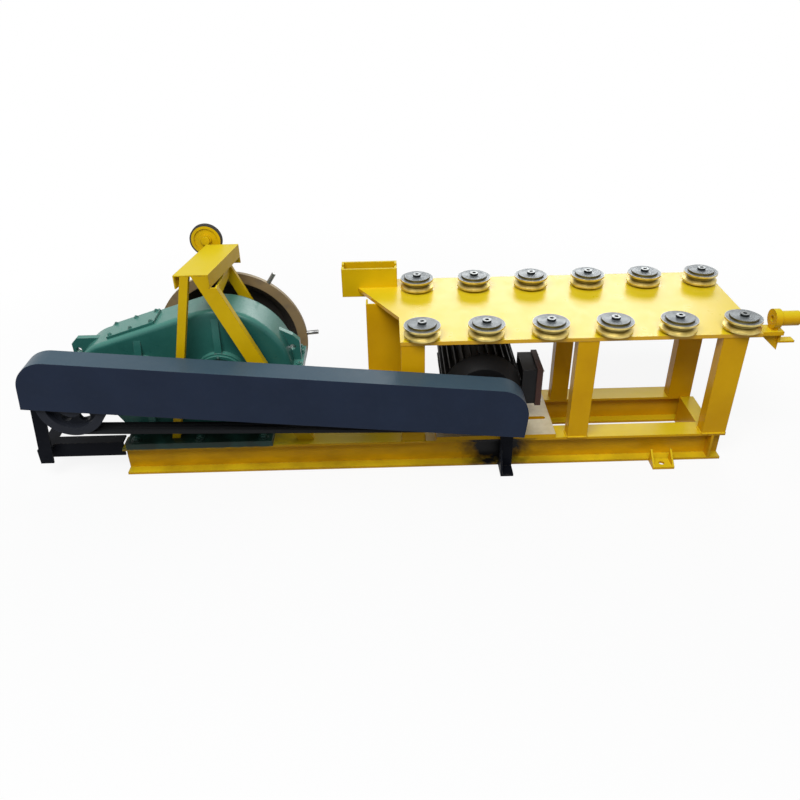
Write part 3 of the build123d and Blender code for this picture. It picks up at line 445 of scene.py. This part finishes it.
# Painted highlight: the reducer's faces that look up.
green_painted_top_light = (0.085, 0.290, 0.235)
green_chip = (0.10, 0.12, 0.11)
motor_black = (0.007, 0.007, 0.008)
motor_black_thin = (0.012, 0.012, 0.012)
motor_black_chip = (0.05, 0.05, 0.05)
box_black = (0.009, 0.009, 0.010)
box_black_thin = (0.016, 0.016, 0.016)
box_black_chip = (0.06, 0.06, 0.06)
lid_red = (0.085, 0.040, 0.032)
lid_red_dark = (0.050, 0.026, 0.022)
stand_black = (0.004, 0.005, 0.008)
stand_black_thin = (0.008, 0.009, 0.013)
stand_black_chip = (0.08, 0.07, 0.06)
tan = (0.34, 0.240, 0.125)
tan_thin = (0.27, 0.190, 0.095)
# Painted light: the drum's faces that look up.
tan_painted_top_light = (0.62, 0.52, 0.36)
tan_chip = (0.12, 0.10, 0.085)

# Colours of darkening, a smudge, overspray, scrapes, and oil with painted shade
rail_darkening = (0.33, 0.17, 0.008)
rail_smudge = (0.008, 0.008, 0.009)
rail_spray = (0.05, 0.11, 0.06)
# Oil and dirt on the reducer's foot, together with painted shade.
foot_oil_and_shade = (0.013, 0.022, 0.014)
tan_scrape = (0.15, 0.12, 0.10)

# Colours of bare metal and rubber, pale and dark
roller_top = ((0.215, 0.235, 0.245), (0.145, 0.162, 0.170))
# Painted shade at the step of the roller tops.
roller_step_shade = (0.022, 0.022, 0.022)
# Bright rim of the roller tops: a rubbed edge and a painted highlight.
roller_rim_wear_and_highlight = (0.46, 0.46, 0.44)
roller_gold = ((0.76, 0.60, 0.20), (0.48, 0.38, 0.12))
# Painted shade in the roller groove.
roller_groove_shade = (0.20, 0.155, 0.045)
shaft_steel = ((0.34, 0.34, 0.33), (0.18, 0.18, 0.18))
pin_black = ((0.020, 0.022, 0.022), (0.045, 0.048, 0.048))
# Painted highlight on the worn top of the pin heads.
pin_worn_highlight = ((0.25, 0.265, 0.265), (0.15, 0.16, 0.16))
zinc_plate = ((0.62, 0.61, 0.58), (0.42, 0.41, 0.38))
drum_inside_dark = ((0.055, 0.049, 0.044), (0.095, 0.084, 0.074))
wheel_rim = ((0.035, 0.032, 0.030), (0.090, 0.084, 0.078))
pulley_casting = ((0.012, 0.014, 0.021), (0.026, 0.029, 0.038))
rubber = ((0.010, 0.011, 0.013), (0.022, 0.023, 0.025))
machined_plate = ((0.80, 0.72, 0.50), (0.62, 0.53, 0.32))

# Darkening, smudge and overspray on the front rail; oil and painted shade on the reducer's foot
darkening_height = 0.1
darkening_share = (0.25, 0.75)
darkening_streak_range = (0.3, 0.75)
smudge_offset = (-0.025, -0.02, 0.07)
smudge_reach = 0.17
smudge_ragged = 0.5
smudge_range = (0.5, 0.85)
spray_ends = (0.05, 0.16)
spray_heights = (0.086, 0.1)
spray_range = (0.35, 0.6)
oil_and_shade_heights = (0.03, 0.002)
oil_and_shade_range = (0.2, 0.6)
oil_and_shade_share = (0.6, 0.95)

# Marks on the round pieces, as shares of the piece's own width
roller_rings = 520.0
roller_step = 0.388
roller_step_width = 0.016
roller_rim_range = (0.478, 0.490)
roller_groove_range = (0.40, 0.47)
roller_top_range = (0.93, 0.99)
roller_top_metallic = 0.5
wheel_rim_range = (0.448, 0.458)
drum_inside = drum_recess_radius / (2 * drum_radius)
drum_inside_range = (drum_inside + 0.004, drum_inside - 0.002)
scrape_range = (0.52, 0.72)
scrape_share = 0.5
pin_worn_highlight_depths = (0.0022, 0.0012)
lid_edge = 0.0005


def make_yellow():
    return enamel("yellow_enamel", yellow, yellow_thin, yellow_chip, painted_top_light=yellow_painted_top_light).material


def make_lemon_yellow():
    """The paler yellow of the pieces that stand highest."""
    return enamel("lemon_enamel", lemon, lemon_thin, yellow_chip, painted_top_light=yellow_painted_top_light).material


def make_table_yellow():
    """The table's yellow, polished by use so that it mirrors the sky, with a painted sheen on its top."""
    shader = enamel(
        "table_enamel", yellow, yellow_thin, yellow_chip, roughness=0.3, gloss=0.46, painted_top_light=table_painted_sheen
    )
    return shader.material


def make_rail_yellow():
    """The front rail's yellow, darker in streaks towards the bottom, with a dark smudge around the
    right stand and green overspray from the reducer's feet."""
    shader = enamel("rail_enamel", yellow, yellow_thin, yellow_chip, painted_top_light=yellow_painted_top_light)
    along = shader.axis(shader.place, "X")
    height = shader.axis(shader.place, "Z")
    ragged = shader.noise(34.0, detail=6.0)

    # Darker in streaks towards the bottom.
    low_down = shader.span(height, darkening_height, 0.0, *darkening_share)
    streaks = shader.span(shader.noise(9.0, detail=8.0, stretch=(1.0, 1.0, 3.0)), *darkening_streak_range)
    paint = shader.mix(shader.math("MULTIPLY", low_down, streaks), shader.paint, rail_darkening)

    # A dark smudge around the right stand.
    stand_low, stand_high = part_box("guard_right_stand")
    stand_x = (stand_low.x + stand_high.x) / 2
    smudge = shader.near((stand_x + smudge_offset[0], smudge_offset[1], smudge_offset[2]), smudge_reach)
    smudge = shader.math("ADD", smudge, shader.math("MULTIPLY", ragged, smudge_ragged))
    paint = shader.mix(shader.span(smudge, *smudge_range), paint, rail_smudge)

    foot_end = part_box("gearbox_base")[1].x
    under = shader.span(along, foot_end - spray_ends[0], foot_end - spray_ends[1])
    under = shader.math("MULTIPLY", under, shader.span(height, *spray_heights))
    spray = shader.math("MULTIPLY", under, shader.span(ragged, *spray_range))
    shader.colour(shader.mix(spray, paint, rail_spray))
    return shader.material


def make_navy():
    """The guard's blue on slightly wavy sheet."""
    shader = enamel("navy_enamel", navy, navy_thin, navy_chip, gloss=0.12, painted_top_light=navy_painted_top_light)
    shader.relief(shader.noise(5.0, detail=2.0, stretch=(1.0, 1.0, 2.0)), 0.0025)
    return shader.material


def reducer_green(name, gloss):
    """Green on a sand casting with soft edges."""
    shader = enamel(name, green, green_thin, green_chip, roughness=0.3, gloss=gloss, painted_top_light=green_painted_top_light)
    shader.relief(shader.noise(70.0, detail=6.0), 0.0005, round_edges=0.003)
    return shader


def make_green():
    return reducer_green("green_enamel", gloss=0.3).material


def make_reducer_base():
    """The reducer's green, with oil and dirt on its foot and painted shade there from the guard above it."""
    shader = reducer_green("reducer_base", gloss=0.2)
    foot_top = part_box("gearbox_base")[0].z + foot_thickness
    height = shader.axis(shader.place, "Z")
    # Oil and dirt together with painted shade from the guard, over the foot and a little above it.
    low_down = shader.span(height, foot_top + oil_and_shade_heights[0], foot_top + oil_and_shade_heights[1])
    patches = shader.span(shader.noise(16.0, detail=6.0), *oil_and_shade_range, *oil_and_shade_share)
    shader.colour(shader.mix(shader.math("MULTIPLY", low_down, patches), shader.paint, foot_oil_and_shade))
    return shader.material


def make_black():
    """The motor's black on a grainy casting."""
    shader = enamel("motor_black", motor_black, motor_black_thin, motor_black_chip, roughness=0.45)
    shader.relief(shader.noise(180.0, detail=5.0), 0.0003)
    return shader.material


def make_terminal_box():
    """Black on the terminal box, and a dark red lid on its outer side."""
    shader = enamel("terminal_black", box_black, box_black_thin, box_black_chip, roughness=0.45)
    lid_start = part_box("motor_terminal_box")[1].x - terminal_lid
    lid = shader.span(shader.axis(shader.place, "X"), lid_start - lid_edge, lid_start + lid_edge)
    red = shader.mix(shader.noise(40.0, detail=5.0), lid_red, lid_red_dark)
    shader.colour(shader.mix(lid, shader.paint, red))
    return shader.material


def make_stand_black():
    """Thin dull black on the guard's stands."""
    shader = enamel(
        "stand_black", stand_black, stand_black_thin, stand_black_chip, roughness=0.48, gloss=0.05
    )
    return shader.material


def make_turned_steel():
    """Rollers: dark steel faced on a lathe, with fine rings and oil haze, and gold sides. A dark ring at
    the step and the darker groove are painted shade; the bright rim is a rubbed edge and a painted
    highlight.
    """
    shader = Shader("turned_steel", 0.4, metallic=roller_top_metallic)
    radius = shader.radius("X", "Y")
    rings = shader.tree.nodes.new("ShaderNodeMath")
    rings.operation = "SINE"
    shader.link(shader.math("MULTIPLY", radius, roller_rings), rings.inputs[0])
    haze = shader.haze(45.0, detail=6.0)
    metal = shader.mix(haze, *roller_top)
    # Painted shade: a dark ring just outside the step.
    metal = shader.mix(shader.near_value(radius, roller_step, roller_step_width), metal, roller_step_shade)
    # A bright ring at the rim: a rubbed edge and a painted highlight.
    metal = shader.mix(shader.span(radius, *roller_rim_range), metal, roller_rim_wear_and_highlight)
    gold = shader.mix(haze, *roller_gold)
    # Painted shade: the groove darker than the flanges.
    gold = shader.mix(shader.span(radius, *roller_groove_range), roller_groove_shade, gold)
    top = shader.upward(*roller_top_range)
    shader.colour(shader.mix(top, gold, metal))
    shader.link(shader.span(top, 0.0, 1.0, 1.0, roller_top_metallic), shader.surface.inputs["Metallic"])
    shader.rough(80.0, 4.0, 0.30, 0.42)
    shader.relief(rings.outputs[0], 0.00006, round_edges=0.001)
    return shader.material


def make_bright_steel():
    """Shafts and drum pins, ground and hazed by oil."""
    shader = Shader("bright_steel", 0.3, metallic=1.0)
    shader.colour(shader.mix(shader.haze(60.0, detail=5.0), *shaft_steel))
    shader.rough(120.0, 4.0, 0.26, 0.45)
    shader.relief(shader.noise(300.0, detail=2.0), 0.00008)
    return shader.material


def make_pin_steel():
    """Socket heads of the roller pins: blackened, with the top worn bright round a dark socket; that bright
    top is also a painted highlight.
    """
    shader = Shader("pin_steel", 0.34, metallic=1.0)
    dark = shader.mix(shader.noise(200.0, detail=4.0), *pin_black)
    bright = shader.mix(shader.noise(160.0, detail=4.0), *pin_worn_highlight)
    # The worn top of the head, painted bright as a highlight too.
    head_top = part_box("roller_pins")[1].z
    worn_highlight_low, worn_highlight_high = (head_top - depth for depth in pin_worn_highlight_depths)
    worn_highlight = shader.span(shader.axis(shader.place, "Z"), worn_highlight_low, worn_highlight_high)
    shader.colour(shader.mix(worn_highlight, dark, bright))
    return shader.material


def make_zinc():
    """Plated fasteners, dulled by handling."""
    shader = Shader("zinc_plate", 0.34, metallic=1.0)
    shader.colour(shader.mix(shader.haze(300.0, detail=4.0), *zinc_plate))
    shader.rough(400.0, 3.0, 0.25, 0.5)
    shader.relief(shader.noise(500.0, detail=2.0), 0.0001, round_edges=0.0008)
    return shader.material


def make_drum():
    """Tan primer on the rim, and a dark colour inside it."""
    shader = enamel("drum_tan", tan, tan_thin, tan_chip, roughness=0.5, painted_top_light=tan_painted_top_light)
    scrapes = shader.span(shader.noise(26.0, detail=8.0, stretch=(1.0, 6.0, 1.0)), *scrape_range)
    paint = shader.mix(shader.math("MULTIPLY", scrapes, scrape_share), shader.paint, tan_scrape)
    # Dark inside the rim.
    inside = shader.span(shader.radius("X", "Z"), *drum_inside_range)
    casting = shader.mix(shader.noise(40.0, detail=6.0), *drum_inside_dark)
    shader.colour(shader.mix(inside, paint, casting))
    return shader.material


def make_guide_wheel():
    """Yellow web and hub in a rim of dark bare steel."""
    shader = enamel("wheel_enamel", lemon, lemon_thin, yellow_chip)
    rim = shader.span(shader.radius("X", "Z"), *wheel_rim_range)
    steel = shader.mix(shader.noise(90.0, detail=5.0), *wheel_rim)
    shader.colour(shader.mix(rim, shader.paint, steel))
    return shader.material


def make_cast_grey():
    """Dark casting of the belt pulleys."""
    shader = Shader("cast_grey", 0.5, gloss=0.12)
    grain = shader.noise(220.0, detail=5.0)
    shader.colour(shader.mix(grain, *pulley_casting))
    shader.relief(grain, 0.0004)
    return shader.material


def make_rubber():
    """Fabric covered rubber of the belts."""
    shader = Shader("belt_rubber", 0.62, gloss=0.06)
    weave = shader.noise(500.0, detail=3.0)
    shader.colour(shader.mix(weave, *rubber))
    shader.relief(weave, 0.0003)
    return shader.material


def make_motor_base():
    """Machined plate, pale on top, with yellow paint on its sides."""
    shader = enamel("motor_base", yellow, yellow_thin, yellow_chip)
    pale = shader.mix(shader.noise(60.0, detail=6.0), *machined_plate)
    shader.colour(shader.mix(shader.upward(), shader.paint, pale))
    return shader.material


makers = {
    "yellow_paint": make_yellow,
    "blue_paint": make_navy,
    "green_paint": make_green,
    "black_paint": make_black,
    "dark_paint": make_stand_black,
    "bright_steel": make_bright_steel,
    "drum_paint": make_drum,
    "cast_grey": make_cast_grey,
    "belt_rubber": make_rubber,
}
own_makers = {
    "front_rail": make_rail_yellow,
    "table_top": make_table_yellow,
    "gearbox_base": make_reducer_base,
    "motor_terminal_box": make_terminal_box,
    "roller_pins": make_pin_steel,
    "die_box": make_lemon_yellow,
    "top_beam": make_lemon_yellow,
    "front_post": make_lemon_yellow,
    "front_brace": make_lemon_yellow,
    "rear_post": make_lemon_yellow,
    "rear_brace": make_lemon_yellow,
    "beam_stretcher": make_lemon_yellow,
    "wheel_bracket": make_lemon_yellow,
    "guide_wheel": make_guide_wheel,
    "motor_base": make_motor_base,
}
own_makers.update({f"roller_{number:02d}": make_turned_steel for number in range(1, 13)})


def dress_nodes():
    """Give every solid the material of its slot, or its own; each maker runs once."""
    finishes = {maker: maker() for maker in (*makers.values(), *dict.fromkeys(own_makers.values()))}
    for entry in frame["record"]["subparts"]:
        name = entry["node"]
        maker = own_makers.get(name, makers[entry["material_slot"]])
        mesh = nodes[name].data
        mesh.materials.clear()
        mesh.materials.append(finishes[maker])
    return {slot: finishes[maker] for slot, maker in makers.items()}


# Fasteners
def facing(point, normal):
    """A placing whose +Z runs along normal from a point."""
    return Matrix.Translation(point) @ Vector(normal).to_track_quat("Z", "Y").to_matrix().to_4x4()


def add_ring(mesh, place, sides, levels, turn=0.0):
    """A closed turned form of (radius, height) levels with that many sides."""
    rows = []
    for radius, height in levels:
        row = []
        for i in range(sides):
            angle = turn + 2 * pi * i / sides
            row.append(mesh.verts.new(place @ Vector((radius * cos(angle), radius * sin(angle), height))))
        rows.append(row)
    for lower, upper in zip(rows, rows[1:]):
        for i in range(sides):
            j = (i + 1) % sides
            mesh.faces.new((lower[i], lower[j], upper[j], upper[i]))
    mesh.faces.new(list(reversed(rows[0])))
    mesh.faces.new(rows[-1])


def scaled(outline, size):
    """An outline in thread sizes, turned into metres."""
    return [(size * radius, size * height) for radius, height in outline]


def add_hex_bolt(mesh, place, size, turn):
    """A washer, a chamfered hexagon head and the end of its thread, one on top of the other."""
    head = place @ Matrix.Translation((0, 0, size * washer_outline[-1][1]))
    thread = head @ Matrix.Translation((0, 0, size * head_outline[-1][1]))
    add_ring(mesh, place, washer_sides, scaled(washer_outline, size))
    add_ring(mesh, head, head_sides, scaled(head_outline, size), turn)
    add_ring(mesh, thread, thread_sides, scaled(thread_outline, size))


def finish_piece(mesh, name, body, finish):
    """Turn a built mesh into a piece that rides on a body."""
    bmesh.ops.recalc_face_normals(mesh, faces=mesh.faces)
    data = bpy.data.meshes.new(name)
    mesh.to_mesh(data)
    mesh.free()
    data.materials.append(finish)
    piece = bpy.data.objects.new(name, data)
    bpy.context.scene.collection.objects.link(piece)
    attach(piece, body)


def hex_bolts(name, places, size, finish, body="machine"):
    """A set of like bolts; each is turned a little differently, as tightened bolts are."""
    mesh = bmesh.new()
    for number, place in enumerate(places):
        add_hex_bolt(mesh, place, size, turn_between_bolts * number)
    finish_piece(mesh, name, body, finish)


def spread(low, high, count):
    """Evenly spaced values from low to high."""
    return [low + (high - low) * i / (count - 1) for i in range(count)]


def shaft_centres():
    """The places of the reducer's three shafts along X, from the solids that sit on them."""
    drum_low, drum_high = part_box("drum")
    pulley_low, pulley_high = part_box("driven_pulley")
    input_x = (pulley_low.x + pulley_high.x) / 2
    output_x = (drum_low.x + drum_high.x) / 2
    return {"input": input_x, "intermediate": input_x + fast_centre_distance, "output": output_x}


def shaft_height():
    """The height of the reducer's shafts, from the drum's middle."""
    drum_low, drum_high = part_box("drum")
    return (drum_low.z + drum_high.z) / 2


def add_flange_bolts(finish):
    """Bolts along the reducer's joint, clear of the bearing bosses, and two at each end."""
    centres = shaft_centres()
    low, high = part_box("gearbox_cover")
    front = low.y + boss_reach - flange_reach / 2
    back = high.y - boss_reach + flange_reach / 2
    middle = (front + back) / 2
    top = shaft_height() + flange_thickness
    places = []
    for x in spread(low.x + flange_bolt_inset, high.x - flange_bolt_inset, flange_bolt_columns):
        if all(abs(x - centres[key]) > boss_radii[key] + foot_bolt for key in centres):
            places += [facing((x, y, top), (0, 0, 1)) for y in (front, back)]
    for x in (low.x + flange_end_inset, high.x - flange_end_inset):
        for y in (middle - flange_end_offset, middle + flange_end_offset):
            places.append(facing((x, y, top), (0, 0, 1)))
    hex_bolts("flange_bolts", places, flange_bolt, finish)


def add_cap_bolts(finish):
    """Bolts round the bearing caps; the output shaft leaves no cap bolts at the back."""
    height = shaft_height()
    caps_low, caps_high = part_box("bearing_caps")
    places = []
    for key, shaft_x in shaft_centres().items():
        circle = boss_radii[key] - cap_margin - cap_lip / 2
        for i in range(cap_bolt_count):
            angle = 2 * pi * (i + 0.5) / cap_bolt_count
            x = shaft_x + circle * cos(angle)
            z = height + circle * sin(angle)
            places.append(facing((x, caps_low.y, z), (0, -1, 0)))
            if key != "output":
                places.append(facing((x, caps_high.y, z), (0, 1, 0)))
    hex_bolts("cap_bolts", places, cap_bolt, finish)


def add_hatch_bolts(finish):
    """Bolts along both sides of the sloping inspection hatch."""
    low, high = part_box("inspection_hatch")
    edge = Vector((low.x, 0.0, high.z - hatch_length * sin(hatch_lean)))
    along = Vector((cos(hatch_lean), 0.0, sin(hatch_lean)))
    upright = (-sin(hatch_lean), 0.0, cos(hatch_lean))
    places = []
    for run in spread(hatch_bolt_inset, hatch_length - hatch_bolt_inset, hatch_bolt_columns):
        for y in (low.y + hatch_bolt_inset, high.y - hatch_bolt_inset):
            places.append(facing(edge + run * along + Vector((0.0, y, 0.0)), upright))
    hex_bolts("hatch_bolts", places, hatch_bolt, finish)


def add_foot_bolts():
    """Bolts that hold the reducer's foot to the rails, as oily as the foot and darkened by the same painted
    shade.
    """
    low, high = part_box("gearbox_base")
    inset_x, inset_y = foot_bolt_inset
    places = []
    for x in spread(foot_span[0] + inset_x, foot_span[1] - inset_x, foot_bolt_columns):
        for y in (low.y + inset_y, high.y - inset_y):
            places.append(facing((x, y, low.z + foot_thickness), (0, 0, 1)))
    hex_bolts("reducer_foot_bolts", places, foot_bolt, nodes["gearbox_base"].data.materials[0])


def add_motor_bolts(black, zinc):
    """Foot bolts, end shield bolts and terminal lid screws of the motor."""
    low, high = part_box("motor_frame")
    middle = (low.x + high.x) / 2
    feet = []
    for x in (middle - motor_foot_offset, middle + motor_foot_offset):
        for y in (low.y + motor_foot_inset, high.y - motor_foot_inset):
            feet.append(facing((x, y, low.z + motor_foot_thickness), (0, 0, 1)))
    hex_bolts("motor_foot_bolts", feet, motor_foot_bolt, zinc)

    axis_z = high.z - motor_frame_radius
    shield_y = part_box("motor_end_shields")[0].y + motor_shield_depth
    corners = []
    for angle in map(radians, shield_bolt_angles):
        x = middle + shield_bolt_circle * cos(angle)
        z = axis_z + shield_bolt_circle * sin(angle)
        corners.append(facing((x, shield_y, z), (0, -1, 0)))
    hex_bolts("shield_bolts", corners, shield_bolt, black)

    box_low, box_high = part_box("motor_terminal_box")
    screws = []
    for y in (box_low.y + lid_screw_inset, box_high.y - lid_screw_inset):
        for z in (box_low.z + lid_screw_inset, box_high.z - lid_screw_inset):
            screws.append(facing((box_high.x, y, z), (1, 0, 0)))
    hex_bolts("terminal_lid_screws", screws, lid_screw, zinc)


# Air inlet
def add_hoop(mesh, place, radius):
    """A closed ring of round wire about the +Z of its placing."""
    rows = []
    for i in range(hoop_sides):
        turn = place @ Matrix.Rotation(2 * pi * i / hoop_sides, 4, "Z")
        row = []
        for j in range(wire_sides):
            angle = 2 * pi * j / wire_sides
            point = Vector((radius + grille_wire * cos(angle), 0.0, grille_wire * sin(angle)))
            row.append(mesh.verts.new(turn @ point))
        rows.append(row)
    for i in range(hoop_sides):
        first = rows[i]
        second = rows[(i + 1) % hoop_sides]
        for j in range(wire_sides):
            k = (j + 1) % wire_sides
            mesh.faces.new((first[j], second[j], second[k], first[k]))


def add_cowl_grille(black):
    """Rings and spokes of the air inlet, half sunk in the back of the motor's fan cowl."""
    low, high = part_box("motor_fan_cowl")
    place = facing(((low.x + high.x) / 2, high.y, (low.z + high.z) / 2), (0, 1, 0))
    inner, outer = grille_radii
    mesh = bmesh.new()
    for radius in spread(inner, outer, grille_rings):
        add_hoop(mesh, place, radius)
    for i in range(grille_spokes):
        turn = Matrix.Rotation(2 * pi * i / grille_spokes, 4, "Z")
        spoke = place @ turn @ Matrix.Translation((inner, 0, 0)) @ Matrix.Rotation(pi / 2, 4, "Y")
        add_ring(mesh, spoke, wire_sides, ((grille_wire, 0.0), (grille_wire, outer - inner)))
    finish_piece(mesh, "cowl_grille", "machine", black)


# Welds
def add_bead(mesh, start, end, number):
    """A rippled weld bead between two points, half sunk in the joint."""
    run = Vector(end) - Vector(start)
    halves = 2 * max(weld_shortest, round(run.length / weld_step))
    levels = []
    for i in range(halves + 1):
        ripple = weld_valley + (1 - weld_valley) * (i % 2) + weld_wander * sin(weld_wander_step * i + number)
        taper = weld_end if i in (0, halves) else 1.0
        levels.append((weld_radius * ripple * taper, run.length * i / halves))
    add_ring(mesh, facing(start, run), wire_sides, levels)


def add_leg_welds(finish):
    """Beads where the front legs of the table stand on the rail."""
    low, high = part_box("front_legs")
    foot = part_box("front_rail")[1].z
    mesh = bmesh.new()
    for number, (left, right) in enumerate(leg_spans):
        add_bead(mesh, (left, low.y, foot), (right, low.y, foot), number)
        add_bead(mesh, (left, low.y, foot), (left, high.y, foot), number)
        add_bead(mesh, (right, low.y, foot), (right, high.y, foot), number)
    finish_piece(mesh, "leg_welds", "machine", finish)


set_camera()
set_stage()
finishes = dress_nodes()
add_flange_bolts(finishes["green_paint"])
add_cap_bolts(finishes["green_paint"])
add_hatch_bolts(finishes["green_paint"])
add_foot_bolts()
add_motor_bolts(finishes["black_paint"], make_zinc())
add_cowl_grille(finishes["black_paint"])
add_leg_welds(finishes["yellow_paint"])

bpy.context.scene.view_settings.view_transform = "Standard"
